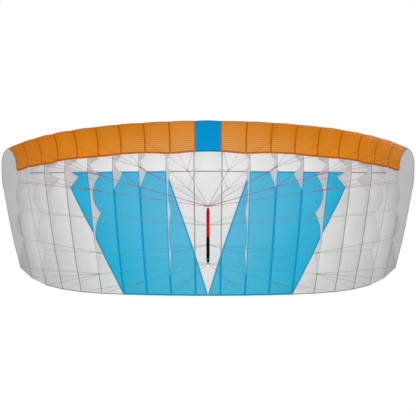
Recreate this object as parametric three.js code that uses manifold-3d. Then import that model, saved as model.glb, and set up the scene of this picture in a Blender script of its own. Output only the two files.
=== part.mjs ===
// A single-skin parawing in flight with its lines and its short control bar.
// Millimetres. X runs along the span, Y from the bar to the canopy, Z from trailing to leading edge.
// The origin is the middle of the bar, where it is gripped.
import * as THREE from "three";
import { mergeVertices } from "three/addons/utils/BufferGeometryUtils.js";
import Module from "manifold-3d";

const wasm = await Module();
wasm.setup();

// Canopy: cells lie side by side on a circular arc about an axis parallel to Z.
const CELLS_A_SIDE = 9; // beside the one centre cell
const CELL_WIDTH = 198; // of the middle cells
const TIP_NARROWING = 66.5; // half the span is this much less than as many middle cells
const ARC_RADIUS = 1603;
const ARC_CENTRE_Y = 147;
const LEADING_Z = 801;
const LEADING_SWEEP = 192;
const TRAILING_Z = -429;
const TRAILING_SWEEP = 60; // over the whole half span
const TRAILING_TIP_SWEEP = 142; // mostly near the tip
const TIP_DEEPER = 0.14; // the tip section is deeper than the centre one by this share
const CLOTH = 1.5;
const RIB_CLOTH = 1.2;
const GAP = 0.3;

// Bar
const BAR_RADIUS = 11;
const BAR_HALF = 189;
const BAR_COLOUR_JOINT_Z = -11;
const FRONT_HOLE_Z = 149;
const REAR_HOLE_Z = -165;
const HOLE_RADIUS = 2.4;
// Ends of the bar. Columns: share of the radius, distance from the end.
const FRONT_END = [
  [1, 52],
  [0.96, 30],
  [0.78, 8],
  [0.68, 2.5],
  [0.5, 0],
];
const REAR_END = [
  [1, 52],
  [0.985, 32],
  [0.94, 20],
  [0.84, 9],
  [0.7, 3],
  [0.45, 0],
];

// Lines
const UPPER_LINE = 1.6; // diameter from a joint to the canopy
const MAIN_LINE = 2.2; // diameter from the bar to a joint
const LEADER = 3;
const SPLICE_LENGTH = 42;
const SPLICE = 3.4;
const LINE_SIDES = 6;
const CASCADE = 0.62; // a joint lies at this share of the way from the bar to the canopy

// Section from the hem under the nose, round the leading edge, to the trailing edge.
// Columns: station along the chord, depth below the highest skin (shares of the chord), billow in mm.
const SECTION = [
  [0.175, 0.121, 2],
  [0.105, 0.1155, 3],
  [0.05, 0.103, 3],
  [0.013, 0.086, 3],
  [0, 0.066, 3],
  [0.013, 0.043, 3.5],
  [0.045, 0.0255, 5],
  [0.1, 0.012, 9],
  [0.2, 0.002, 14],
  [0.28, 0.002, 14],
  [0.36, 0.017, 14],
  [0.46, 0.036, 13],
  [0.58, 0.059, 11],
  [0.7, 0.084, 9],
  [0.82, 0.113, 7],
  [0.91, 0.137, 5],
  [1, 0.164, 3],
];
const LINE_ROW_A = 1; // row of the table where the first lines are sewn on
const NOSE_ROW = 4;
const SEAM_ROW = 7; // nose cloth and skin meet here on top
const NOSE_TIP_BILLOW = 14; // more at the hem of the outermost cells
const CELL_SPLITS = [0, 0.25, 0.5, 0.75, 1];

// Free edge of a rib behind the hem. Columns: station, depth below the skin (shares of the chord),
// how far the edge is cut in halfway to the next point, and the row of lines sewn on there.
const SHORT_EDGE = [
  [0.182, 0.1155, 0, ""],
  [0.19, 0.1145, 0, ""],
  [0.219, 0.026, 0, ""],
  [0.2245, 0.0255, 0, ""],
  [0.286, 0.136, 0.003, "b"],
  [0.376, 0, 0, ""],
];
const LONG_EDGE = [
  [0.182, 0.1155, 0, ""],
  [0.19, 0.1145, 0, ""],
  [0.219, 0.026, 0, ""],
  [0.2245, 0.0255, 0, ""],
  [0.286, 0.136, 0.085, "b"],
  [0.515, 0.106, 0.054, "c"],
  [0.758, 0.056, 0.008, "d"],
  [0.88, 0, 0, ""],
];
const TIP_EDGE = [
  [0.182, 0.144, 0.003, ""],
  [0.286, 0.154, 0.037, "b"],
  [0.513, 0.136, 0.054, "c"],
  [0.756, 0.1, 0.004, "d"],
  [0.985, 0, 0, ""],
];
const LONG_RIBS = [2, 5, 8];
const TIP_RIB = CELLS_A_SIDE + 1;
const ARC_STEPS = 6; // straight pieces in one cut of a free edge

const BRAKE_STATION = 0.997; // brake lines are sewn on just before the trailing edge

// Line joints of the side with positive X. Columns: tree, row, ribs served, x, z.
const JOINTS = [
  ["front", "a", [1, 2, 3], 144, 456],
  ["front", "a", [4, 5, 6], 474, 474],
  ["front", "a", [7, 8, 9, 10], 794, 428],
  ["front", "b", [1, 2, 3], 138, 324],
  ["front", "b", [4, 5, 6], 482, 338],
  ["front", "b", [7, 8, 9, 10], 798, 312],
  ["mid", "c", [8, 10], 762, 118],
  ["brake", "d", [8, 10], 763, -122],
  ["brake", "brake", [1, 2, 3], 147, -322],
  ["brake", "brake", [4, 5, 6], 452, -327],
  ["brake", "brake", [7, 8, 9, 10], 760, -270],
];
// Lines that run from a rib to the bar without a joint. Columns: tree, row, ribs.
const DIRECT = [
  ["mid", "c", [2, 5]],
  ["aft", "d", [2, 5]],
];
// Where the lines of a tree meet behind the bar, and where their leader is fixed to the bar.
// Columns: tree, y and z of the meeting point, z at the bar, and whether it is knotted through a hole.
const MEETING = {
  front: { y: 245, z: 201, barZ: FRONT_HOLE_Z, through: true },
  mid: { y: 48, z: 70, barZ: 68, through: false },
  aft: { y: 48, z: -66, barZ: -64, through: false },
  brake: { y: 265, z: -196, barZ: REAR_HOLE_Z, through: true },
};

const WHITE = 0xdcdcdc;
const BLUE = 0x4bb2d7;
const NOSE_BLUE = 0x0091d2;
const ORANGE = 0xd98723;
const RIB_GREY = 0xd3d4dc;
const LINE_COLOURS = { front: 0xc22335, mid: 0x8a8a3c, aft: 0x6f8f7c, brake: 0x3f9a4a };
const BAR_RED = 0xd50000;
const BAR_BLACK = 0x0c0c0c;

const group = new THREE.Group();
group.name = "parawing";

function add(name, geometry, colour, roughness) {
  const mesh = new THREE.Mesh(geometry, new THREE.MeshStandardMaterial({ color: colour, roughness }));
  mesh.name = name;
  group.add(mesh);
}

// Canopy shape

const HALF_SPAN = CELLS_A_SIDE + 0.5; // in cells

// Angle so many cells from the middle. The outer cells are narrower.
function spanAngle(cells) {
  const narrowing = TIP_NARROWING * Math.sign(cells) * (cells / HALF_SPAN) ** 4;
  return (cells * CELL_WIDTH - narrowing) / ARC_RADIUS;
}

const TIP_ANGLE = spanAngle(HALF_SPAN);

const ribAngle = (rib) => spanAngle(rib - 0.5);

// Section points in the plane at an angle, as radius from the arc's axis and height.
function sectionAt(angle) {
  const share = Math.abs(angle) / TIP_ANGLE;
  const top = LEADING_Z - LEADING_SWEEP * share ** 2;
  const end = TRAILING_Z + TRAILING_SWEEP * share ** 2 + TRAILING_TIP_SWEEP * share ** 6;
  const chord = top - end;
  const deeper = 1 + TIP_DEEPER * share ** 4;
  const points = SECTION.map(
    ([station, depth]) => new THREE.Vector2(ARC_RADIUS - depth * deeper * chord, top - station * chord),
  );
  return { points, chord, top };
}

// Outward normal of the section at one of its points.
function sectionNormal(points, row) {
  const before = points[Math.max(row - 1, 0)];
  const after = points[Math.min(row + 1, points.length - 1)];
  const along = after.clone().sub(before).normalize();
  return new THREE.Vector2(-along.y, along.x);
}

function toSpace(angle, radius, z) {
  return new THREE.Vector3(radius * Math.sin(angle), ARC_CENTRE_Y + radius * Math.cos(angle), z);
}

// Point of the skin between two rows of the section, on the straight piece that joins them.
function skinAt(section, station) {
  let row = NOSE_ROW;
  while (row < SECTION.length - 2 && SECTION[row + 1][0] < station) {
    row += 1;
  }
  const share = (station - SECTION[row][0]) / (SECTION[row + 1][0] - SECTION[row][0]);
  const point = section.points[row].clone().lerp(section.points[row + 1], share);
  const from = sectionNormal(section.points, row);
  const to = sectionNormal(section.points, row + 1);
  return { point, normal: from.lerp(to, share).normalize() };
}

// Closed sheet of cloth over some rows of the section. Columns: angle, and share of full billow.
function clothGeometry(firstRow, lastRow, columns, trimFirst, trimLast) {
  const rows = lastRow - firstRow + 1;
  const sides = [0, -CLOTH].map((below) =>
    columns.flatMap(([angle, billow]) => {
      const { points } = sectionAt(angle);
      const fuller = NOSE_TIP_BILLOW * (angle / TIP_ANGLE) ** 4;
      const made = [];
      for (let row = firstRow; row <= lastRow; row += 1) {
        const nose = Math.max(1 - row / SEAM_ROW, 0);
        const lift = (SECTION[row][2] + fuller * nose) * billow + below;
        const place = points[row].clone().addScaledVector(sectionNormal(points, row), lift);
        if (row === firstRow && trimFirst) {
          place.lerp(points[row + 1], trimFirst / points[row].distanceTo(points[row + 1]));
        }
        if (row === lastRow && trimLast) {
          place.lerp(points[row - 1], trimLast / points[row].distanceTo(points[row - 1]));
        }
        made.push(toSpace(angle, place.x, place.y));
      }
      return made;
    }),
  );
  const points = sides.flat();
  const inner = sides[0].length;
  const at = (column, row) => column * rows + row;
  const faces = [];
  const quad = (a, b, c, d) => faces.push(a, b, c, a, c, d);
  for (let i = 0; i < columns.length - 1; i += 1) {
    for (let j = 0; j < rows - 1; j += 1) {
      const corners = [at(i, j), at(i + 1, j), at(i + 1, j + 1), at(i, j + 1)];
      quad(...corners);
      quad(...corners.map((corner) => corner + inner).reverse());
    }
  }
  const wall = (p, q) => quad(q, p, p + inner, q + inner);
  for (let i = 0; i < columns.length - 1; i += 1) {
    wall(at(i, 0), at(i + 1, 0));
    wall(at(i + 1, rows - 1), at(i, rows - 1));
  }
  for (let j = 0; j < rows - 1; j += 1) {
    wall(at(0, j + 1), at(0, j));
    wall(at(columns.length - 1, j), at(columns.length - 1, j + 1));
  }
  const geometry = new THREE.BufferGeometry().setFromPoints(points);
  geometry.setIndex(faces);
  return geometry;
}

// Columns of one or more cells that lie between two ribs, with a slit left at both ends.
function cellColumns(firstCell, lastCell) {
  const slit = GAP / 2 / (ARC_RADIUS * 0.85);
  const columns = [];
  for (let cell = firstCell; cell <= lastCell; cell += 1) {
    CELL_SPLITS.forEach((share, k) => {
      if (cell > firstCell && k === 0) {
        return;
      }
      columns.push([spanAngle(cell - 0.5 + share), 4 * share * (1 - share)]);
    });
  }
  columns[0][0] += slit;
  columns[columns.length - 1][0] -= slit;
  return columns;
}

const END_ROW = SECTION.length - 1;
const sideName = (cell) => (cell === 0 ? "c" : (cell < 0 ? "l" : "r") + Math.abs(cell));
for (let cell = -CELLS_A_SIDE; cell <= CELLS_A_SIDE; cell += 1) {
  const blue = Math.abs(cell) >= 2 && Math.abs(cell) <= 4;
  const geometry = clothGeometry(SEAM_ROW, END_ROW, cellColumns(cell, cell), GAP / 2, 0);
  add("skin_" + sideName(cell), geometry, blue ? BLUE : WHITE, 0.55);
}
for (const [name, first, last, colour] of [
  ["nose_l", -CELLS_A_SIDE, -1, ORANGE],
  ["nose_c", 0, 0, NOSE_BLUE],
  ["nose_r", 1, CELLS_A_SIDE, ORANGE],
]) {
  add(name, clothGeometry(0, SEAM_ROW, cellColumns(first, last), 0, GAP / 2), colour, 0.5);
}

// Ribs

// Outline of a rib in its plane: inside the nose and the skin, then back along its free edge.
function ribOutline(section, edge) {
  const end = edge[edge.length - 1][0];
  const inside = CLOTH + GAP;
  const outline = [];
  SECTION.forEach(([station], row) => {
    if (row > NOSE_ROW && station >= end - 0.01) {
      return;
    }
    const normal = sectionNormal(section.points, row);
    outline.push(section.points[row].clone().addScaledVector(normal, -inside));
  });
  const last = skinAt(section, end);
  outline.push(last.point.clone().addScaledVector(last.normal, -inside));
  for (let k = edge.length - 2; k >= 0; k -= 1) {
    const [station, depth, cut] = edge[k];
    const [nextStation, nextDepth] = edge[k + 1];
    const steps = cut ? ARC_STEPS : 1;
    for (let step = 1; step <= steps; step += 1) {
      const share = 1 - step / steps;
      const here = station + (nextStation - station) * share;
      const drop = depth + (nextDepth - depth) * share - 4 * share * (1 - share) * cut;
      const { point } = skinAt(section, here);
      outline.push(new THREE.Vector2(point.x - Math.max(drop * section.chord, inside + 4), point.y));
    }
  }
  return outline;
}

function ribGeometry(angle, edge) {
  const outline = ribOutline(sectionAt(angle), edge);
  const shape = new THREE.Shape(outline);
  const plate = new THREE.ExtrudeGeometry(shape, { depth: RIB_CLOTH, bevelEnabled: false });
  plate.translate(0, 0, -RIB_CLOTH / 2);
  const out = new THREE.Vector3(Math.sin(angle), Math.cos(angle), 0);
  const up = new THREE.Vector3(0, 0, 1);
  const place = new THREE.Matrix4().makeBasis(out, up, new THREE.Vector3().crossVectors(out, up));
  place.setPosition(0, ARC_CENTRE_Y, 0);
  return plate.applyMatrix4(place);
}

function edgeOf(rib) {
  if (rib === TIP_RIB) {
    return TIP_EDGE;
  }
  return LONG_RIBS.includes(rib) ? LONG_EDGE : SHORT_EDGE;
}

for (const [side, sign] of [
  ["l", -1],
  ["r", 1],
]) {
  for (let rib = 1; rib <= TIP_RIB; rib += 1) {
    const tip = rib === TIP_RIB;
    const inset = tip ? (RIB_CLOTH / 2 + GAP) / ARC_RADIUS : 0;
    const name = tip ? "tip_rib_" + side : "rib_" + side + rib;
    add(name, ribGeometry(sign * (ribAngle(rib) - inset), edgeOf(rib)), RIB_GREY, 0.6);
  }
}

// Lines

// Where a line of a row is sewn to a rib: on the nose, on a flare or on the trailing edge.
function sewnPoint(row, rib, sign) {
  const tip = rib === TIP_RIB;
  const angle = ribAngle(rib) - (tip ? (RIB_CLOTH / 2 + GAP) / ARC_RADIUS : 0);
  const section = sectionAt(angle);
  if (row === "a") {
    const { x, y } = section.points[LINE_ROW_A];
    return { point: toSpace(sign * angle, x, y), clear: 1.1 };
  }
  if (row === "brake") {
    const { point } = skinAt(section, BRAKE_STATION);
    return { point: toSpace(sign * angle, point.x - CLOTH - 0.2, point.y), clear: 0.9 };
  }
  const [station, depth] = edgeOf(rib).find((entry) => entry[3] === row);
  const { point } = skinAt(section, station);
  return { point: toSpace(sign * angle, point.x - depth * section.chord, point.y), clear: 0.8 };
}

// A closed mesh that grows from ring to ring. A ring runs anticlockwise about the way it grows.
class Growth {
  points = [];
  faces = [];

  ring(centre, u, v, outline) {
    const place = ([x, y]) => centre.clone().addScaledVector(u, x).addScaledVector(v, y);
    return outline.map((corner) => this.points.push(place(corner)) - 1);
  }

  round(centre, way, diameter) {
    const side = Math.abs(way.z) < 0.9 ? new THREE.Vector3(0, 0, 1) : new THREE.Vector3(1, 0, 0);
    const u = new THREE.Vector3().crossVectors(side, way).normalize();
    return this.ring(centre, u, new THREE.Vector3().crossVectors(way, u), circle(diameter));
  }

  // Joins two rings of the same size, turned so that the tube between them has the least twist.
  tube(from, to) {
    const count = from.length;
    const middle = (ids) =>
      ids.reduce((sum, id) => sum.add(this.points[id]), new THREE.Vector3()).divideScalar(count);
    const shift = middle(to).sub(middle(from));
    const miss = (turn) =>
      from.reduce((sum, id, k) => {
        const moved = this.points[id].clone().add(shift);
        return sum + moved.distanceTo(this.points[to[(k + turn) % count]]);
      }, 0);
    const turns = from.map((_, turn) => turn).sort((a, b) => miss(a) - miss(b));
    from.forEach((id, k) => {
      const next = from[(k + 1) % count];
      const far = to[(k + turns[0]) % count];
      const farNext = to[(k + 1 + turns[0]) % count];
      this.faces.push(id, next, farNext, id, farNext, far);
    });
  }

  // Flat face inside a contour and round its holes, seen from the side that u and v turn towards.
  plate(contour, holes, u, v) {
    const seen = (id) => new THREE.Vector2(this.points[id].dot(u), this.points[id].dot(v));
    const flat = (ids) => ids.map(seen);
    const ids = [contour, ...holes].flat();
    const at = flat(ids);
    for (const [a, b, c] of THREE.ShapeUtils.triangulateShape(flat(contour), holes.map(flat))) {
      const turned = at[b].clone().sub(at[a]).cross(at[c].clone().sub(at[a])) < 0;
      this.faces.push(ids[a], ids[turned ? c : b], ids[turned ? b : c]);
    }
  }

  cap(ring, way) {
    const u = this.points[ring[1]].clone().sub(this.points[ring[0]]).normalize();
    this.plate(ring, [], u, new THREE.Vector3().crossVectors(way, u));
  }

  // A knot with places for lines on both faces. A place is an offset across, an offset over and a diameter.
  knot(centre, axis, across, size, ahead, behind) {
    const over = new THREE.Vector3().crossVectors(axis, across);
    const back = over.clone().negate();
    const low = centre.clone().addScaledVector(axis, -size.length / 2);
    const high = centre.clone().addScaledVector(axis, size.length / 2);
    const contour = KNOT_SHAPE.map(([x, y]) => [x * size.width, y * size.height]);
    const bottom = this.ring(low, across, over, contour);
    const top = this.ring(high, across, over, contour);
    bottom.forEach((id, k) => {
      const next = (k + 1) % bottom.length;
      this.faces.push(id, bottom[next], top[next], id, top[next], top[k]);
    });
    const hole = (base, way, [x, y, diameter]) => {
      const middle = base.clone().addScaledVector(across, x).addScaledVector(over, y);
      return this.ring(middle, across, way, circle(diameter));
    };
    const front = ahead.map((place) => hole(high, over, place));
    const rear = behind.map((place) => hole(low, back, place));
    this.plate(top, front, across, over);
    this.plate(bottom, rear, across, back);
    return { front, rear };
  }

  geometry() {
    const geometry = new THREE.BufferGeometry().setFromPoints(this.points);
    geometry.setIndex(this.faces);
    return geometry;
  }
}

const KNOT_SHAPE = [
  [1, -0.45],
  [1, 0.45],
  [0.72, 1],
  [-0.72, 1],
  [-1, 0.45],
  [-1, -0.45],
  [-0.72, -1],
  [0.72, -1],
];

function circle(diameter) {
  return Array.from({ length: LINE_SIDES }, (_, k) => {
    const turn = (2 * Math.PI * k) / LINE_SIDES;
    return [(Math.cos(turn) * diameter) / 2, (Math.sin(turn) * diameter) / 2];
  });
}

// A line from a ring to the canopy, which stops just short of the cloth.
function upperLine(mesh, ring, row, rib, sign) {
  const { point, clear } = sewnPoint(row, rib, sign);
  const way = point.clone().sub(mesh.points[ring[0]]).normalize();
  const end = mesh.round(point.addScaledVector(way, -clear), way, UPPER_LINE);
  mesh.tube(ring, end);
  mesh.cap(end, way);
}

// A main line from the meeting knot to its joint, and the lines that fan out from there.
function mainLine(mesh, ring, [, row, ribs, x, z], sign, meeting) {
  const sewn = ribs.map((rib) => sewnPoint(row, rib, sign).point);
  const meanY = sewn.reduce((sum, point) => sum + point.y, 0) / ribs.length;
  const joint = new THREE.Vector3(sign * x, meeting.y + CASCADE * (meanY - meeting.y), z);
  const axis = joint.clone().sub(meeting).normalize();
  const across = sewn[sewn.length - 1].clone().sub(sewn[0]);
  across.addScaledVector(axis, -across.dot(axis)).normalize();
  const pitch = UPPER_LINE + 0.5;
  const ahead = ribs.map((_, k) => [(k - (ribs.length - 1) / 2) * pitch, 0, UPPER_LINE]);
  const size = { width: (ribs.length * pitch) / 2 + 0.9, height: 2.4, length: 8 };
  const { front, rear } = mesh.knot(joint, axis, across, size, ahead, [[0, 0, SPLICE]]);
  const spliceStart = joint.clone().addScaledVector(axis, -SPLICE_LENGTH);
  const thin = mesh.round(spliceStart, axis, MAIN_LINE);
  const thick = mesh.round(spliceStart.clone().addScaledVector(axis, 10), axis, SPLICE);
  mesh.tube(ring, thin);
  mesh.tube(thin, thick);
  mesh.tube(thick, [...rear[0]].reverse());
  ribs.forEach((rib, k) => upperLine(mesh, front[k], row, rib, sign));
}

// A leader runs from the meeting knot to the bar, and some pass through it to a stopper knot.
function leader(mesh, ring, { y, z, barZ, through }) {
  const way = new THREE.Vector3(0, -y, barZ - z).normalize();
  const at = (distance) => new THREE.Vector3(0, 0, barZ).addScaledVector(way, distance);
  const stages = through
    ? [
        [BAR_RADIUS + GAP, LEADER],
        [BAR_RADIUS + GAP + 0.8, 2 * LEADER],
        [BAR_RADIUS + 4.5, 2 * LEADER],
        [BAR_RADIUS + 6, LEADER],
      ]
    : [[-BAR_RADIUS - GAP - 0.1, LEADER]];
  let last = ring;
  for (const [distance, diameter] of stages) {
    const next = mesh.round(at(distance), way, diameter);
    mesh.tube(last, next);
    last = next;
  }
  mesh.cap(last, way);
}

function treeGeometry(tree) {
  const mesh = new Growth();
  const { y, z } = MEETING[tree];
  const meeting = new THREE.Vector3(0, y, z);
  const direct = DIRECT.filter(([name]) => name === tree).flatMap(([, row, ribs]) =>
    ribs.map((rib) => [row, rib]),
  );
  const joints = JOINTS.filter(([name]) => name === tree);
  const rows = [...new Set(joints.map(([, row]) => row))];
  // Each line leaves the meeting knot from a place of its own, in the order in which the lines spread.
  const pitch = MAIN_LINE + 0.5;
  const lines = [];
  for (const sign of [-1, 1]) {
    direct.forEach(([row, rib], k) => {
      lines.push({ row, rib, sign, place: [sign * (k + 0.5) * pitch, 0, UPPER_LINE] });
    });
    for (const joint of joints) {
      const nearer = joints.filter(([, row, , x]) => row === joint[1] && x < joint[3]);
      const level = ((rows.length - 1) / 2 - rows.indexOf(joint[1])) * pitch;
      const aside = sign * (nearer.length + direct.length + 0.5) * pitch;
      lines.push({ joint, sign, place: [aside, -level, MAIN_LINE] });
    }
  }
  const widest = Math.max(...lines.map(({ place }) => place[0]));
  const size = { width: widest + MAIN_LINE + 1.4, height: rows.length * 1.4 + 2, length: 10 };
  const ahead = lines.map(({ place }) => place);
  const axis = new THREE.Vector3(0, 1, 0);
  const across = new THREE.Vector3(1, 0, 0);
  const { front, rear } = mesh.knot(meeting, axis, across, size, ahead, [[0, 0, LEADER]]);
  leader(mesh, rear[0], MEETING[tree]);
  lines.forEach(({ joint, row, rib, sign }, k) => {
    if (joint) {
      mainLine(mesh, front[k], joint, sign, meeting);
    } else {
      upperLine(mesh, front[k], row, rib, sign);
    }
  });
  return mesh.geometry();
}

for (const tree of Object.keys(MEETING)) {
  add(tree + "_lines", treeGeometry(tree), LINE_COLOURS[tree], 0.7);
}

// Bar: two coloured halves, each drawn in towards its rounded end and drilled across for a leader.

function solid(geometry) {
  geometry.deleteAttribute("normal");
  geometry.deleteAttribute("uv");
  const merged = mergeVertices(geometry, 1e-4);
  return new wasm.Manifold(
    new wasm.Mesh({
      numProp: 3,
      vertProperties: merged.attributes.position.array,
      triVerts: new Uint32Array(merged.index.array),
    }),
  );
}

function barHalf(sign, jointZ, end, { y, z, barZ }) {
  const outline = [
    [0, jointZ],
    [BAR_RADIUS, jointZ],
    ...end.map(([share, away]) => [BAR_RADIUS * share, sign * (BAR_HALF - away)]),
    [0, sign * BAR_HALF],
  ].map(([radius, height]) => new THREE.Vector2(radius, height));
  if (sign < 0) {
    outline.reverse();
  }
  const body = solid(new THREE.LatheGeometry(outline, 28).rotateX(Math.PI / 2));
  const hole = new THREE.CylinderGeometry(HOLE_RADIUS, HOLE_RADIUS, 4 * BAR_RADIUS, 16);
  hole.rotateX(Math.atan2(z - barZ, y)).translate(0, 0, barZ);
  const mesh = body.subtract(solid(hole)).getMesh();
  const geometry = new THREE.BufferGeometry();
  geometry.setAttribute("position", new THREE.BufferAttribute(mesh.vertProperties, 3));
  geometry.setIndex(new THREE.BufferAttribute(mesh.triVerts, 1));
  return geometry;
}

add("bar_front", barHalf(1, BAR_COLOUR_JOINT_Z + GAP / 2, FRONT_END, MEETING.front), BAR_RED, 0.5);
add("bar_rear", barHalf(-1, BAR_COLOUR_JOINT_Z - GAP / 2, REAR_END, MEETING.brake), BAR_BLACK, 0.5);

export default group;
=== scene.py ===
# A single-skin parawing in flight, with its lines and its short control bar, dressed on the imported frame.
# Metres. X runs along the span, Y from the bar to the canopy, Z from trailing to leading edge.
from bisect import bisect_left
from functools import reduce
from math import atan2, cos, exp, floor, hypot, pi, radians, sin

import bpy
from mathutils import Matrix, Vector


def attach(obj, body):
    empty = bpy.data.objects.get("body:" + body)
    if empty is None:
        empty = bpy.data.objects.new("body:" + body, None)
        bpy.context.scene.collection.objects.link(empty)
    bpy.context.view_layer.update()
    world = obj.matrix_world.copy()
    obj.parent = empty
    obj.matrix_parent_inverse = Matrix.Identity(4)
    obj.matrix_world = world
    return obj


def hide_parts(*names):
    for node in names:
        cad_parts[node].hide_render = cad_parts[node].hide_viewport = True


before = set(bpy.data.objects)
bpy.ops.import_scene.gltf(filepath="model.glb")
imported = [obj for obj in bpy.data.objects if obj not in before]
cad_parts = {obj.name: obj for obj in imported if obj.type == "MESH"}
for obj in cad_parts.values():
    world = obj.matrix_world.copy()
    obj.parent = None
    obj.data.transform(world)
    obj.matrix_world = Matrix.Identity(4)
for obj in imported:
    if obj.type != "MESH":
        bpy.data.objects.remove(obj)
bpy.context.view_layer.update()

# Canopy: cells lie side by side on a circular arc about an axis parallel to Z.
CELLS_A_SIDE = 9
CELLS = 2 * CELLS_A_SIDE + 1
HALF_SPAN = CELLS / 2  # in cells
CELL_WIDTH = 0.198  # of the middle cells
TIP_NARROWING = 0.0665  # half the span is this much less than as many middle cells
ARC_RADIUS = 1.603
ARC_CENTRE_Y = 0.147
LEADING_Z = 0.801
LEADING_SWEEP = 0.192
LEADING_TIP_SWEEP = 0.006  # mostly in the last cell
TRAILING_Z = -0.429
TRAILING_SWEEP = 0.06  # over the whole half span
TRAILING_TIP_SWEEP = 0.142  # mostly near the tip
# How much longer the outer cells are, at which share of the half span, and the spread of that.
TRAILING_FULLNESS = (0.0045, 0.86, 0.09)
TIP_DEEPER = 0.14  # share by which the section is deeper at the tip
SKIN_CLOTH = 0.0012
RIB_CLOTH = 0.001

# How far the tip is drawn in, in shares of the chord: the skin behind its nose, and the nose's lower side.
TIP_TUCK = 0.0165
NOSE_TUCK = 0.015

# Section from the hem under the nose, round the leading edge, to the trailing edge.
# Columns: station along the chord, depth below the highest skin (shares of the chord), billow.
SECTION = (
    (0.175, 0.121, 0.002),
    (0.105, 0.1155, 0.003),
    (0.05, 0.103, 0.003),
    (0.013, 0.086, 0.003),
    (0.0, 0.066, 0.003),
    (0.013, 0.043, 0.0035),
    (0.045, 0.0255, 0.005),
    (0.1, 0.012, 0.009),
    (0.2, 0.002, 0.014),
    (0.28, 0.002, 0.014),
    (0.36, 0.017, 0.014),
    (0.46, 0.036, 0.013),
    (0.58, 0.059, 0.011),
    (0.7, 0.084, 0.009),
    (0.82, 0.113, 0.007),
    (0.91, 0.137, 0.004),
    (1.0, 0.164, -0.0022),
)
LINE_ROW_A = 1
NOSE_ROW = 4
SEAM_ROW = 7
HEM_STATION = SECTION[0][0]
SEAM_STATION = SECTION[SEAM_ROW][0]
# Waves of the slack cloth. Columns: radians for each cell, radians for each run of the section, phase.
SLACK_WAVES = ((2.3, 17, 0.0), (3.9, -29, 1.2), (1.1, 41, 0.5))
SLACK = 0.0006

# Free edge of a rib behind the hem. Columns: station, depth below the skin (shares of the chord),
# how far the edge is cut in halfway to the next point, and the row of lines sewn on there.
NOTCH_EDGE = (
    (0.182, 0.1155, 0.0, ""),
    (0.19, 0.1145, 0.0, ""),
    (0.219, 0.026, 0.0, ""),
    (0.2245, 0.0255, 0.023, ""),
)
SHORT_EDGE = NOTCH_EDGE + (
    (0.286, 0.136, 0.0, "b"),
    (0.379, 0.0, 0.0, ""),
)
LONG_EDGE = NOTCH_EDGE + (
    (0.286, 0.136, 0.087, "b"),
    (0.515, 0.102, 0.063, "c"),
    (0.758, 0.056, 0.008, "d"),
    (0.88, 0.0, 0.0, ""),
)
TIP_EDGE = (
    (0.182, 0.144, 0.003, ""),
    (0.286, 0.154, 0.037, "b"),
    (0.513, 0.136, 0.054, "c"),
    (0.756, 0.1, 0.004, "d"),
    (0.985, 0.0, 0.0, ""),
)
LONG_RIBS = (2, 5, 8)
INNER_RIBS = (2, 3, 4, 5)  # those that cross the blue panels
FIRST_OUTER_RIB = 8
TIP_RIB = CELLS_A_SIDE + 1
RIB_INSET = SKIN_CLOTH + 0.0002
TIP_RIB_INSET = RIB_CLOTH / 2 + 0.0003  # from the ends of the skin
LEAST_RIB = 0.004  # depth of a rib where its free edge meets the skin
RIB_BOW = 0.0016
# Mesh of a rib: rows from the skin to the free edge, columns as far as the hem, and their pitch behind it.
RIB_ROWS = (0.0, 0.06, 0.16, 0.3, 0.46, 0.62, 0.76, 0.87, 0.94, 0.975, 1.0)
NOSE_STATIONS = (0.0006, 0.004, 0.012, 0.024, 0.04, 0.06, 0.085, 0.11, 0.135, 0.16, 0.1749, 0.1755)
RIB_PITCH = 0.008

# Coloured panels: blue lies below the cross seam, between two slanting joints on each side.
# A joint starts this many cells from the middle and leans in by so many on its way to the trailing edge.
CROSS_SEAM_Z = 0.449
CROSS_SEAM_FALL = 0.0205  # at the tips
PANEL_JOINTS = ((1.488, 1.488), (5.526, 2.009))
OUTER_SEAM_RIB = 5.5  # the sixth rib, where the outer joints meet the cross seam
BLUE_NOSE_CELLS = 0.5  # each way from the middle

# Skin: its flat cut counts cells along the span and, down the chord, 0 at the cross seam and 1 at its end.
COLUMNS = 12  # strips of mesh in one cell
SKIN_ROWS = 84
SKIN_FRONT = -0.2
ON_SEAM = -0.001  # what lies before this is off the slanting joints
NO_SEAM = 1.0  # further than any seam reaches
TRAILING_HEM = 0.0045
RIB_OVER_SEAM = (0.0012, 0.0035)  # how far a rib hides the seam under it, in white and in blue
HIDDEN_MORE = 2.4  # times as far at the outer ribs, and in white behind the station below
HIDDEN_MORE_STATION = 0.7

# Nose: its hem is cut longer or shorter in places. Columns: place and spread in cells, how much longer.
NOSE_ROWS = 56
NOSE_LAP = 0.006
HEM_DROPS = (
    (1.45, 0.75, 0.0125),
    (4.4, 0.55, 0.0045),
    (6.05, 0.45, -0.004),
    (7.1, 0.4, 0.005),
    (9.5, 2.2, 0.002),
    (9.5, 0.5, 0.007),
)
HEM_SCALLOP = 0.007  # between the outermost ribs
HEM_FOLD = 0.0007  # how far the turned hem stands out
HEM_FOLD_ENDS = (0.009, 0.013)
LAP_LIFT = 0.0006
LAP_RISE = 0.003  # length over which the nose rises onto the skin

# Lines
UPPER_LINE = 0.0013
MAIN_LINE = {"front": 0.0018, "mid": 0.0012, "aft": 0.0012, "brake": 0.0012}
LEADER = 0.0026
LINE_GAP = 0.0005
# Columns: length of a tree's splices, and how far the knots stand out.
SPLICES = {"front": (0.085, 0.0012), "mid": (0.042, 0.0012), "brake": (0.024, 0.0022)}
CASCADE = 0.62  # share of the way from the meeting point to the ribs
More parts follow.
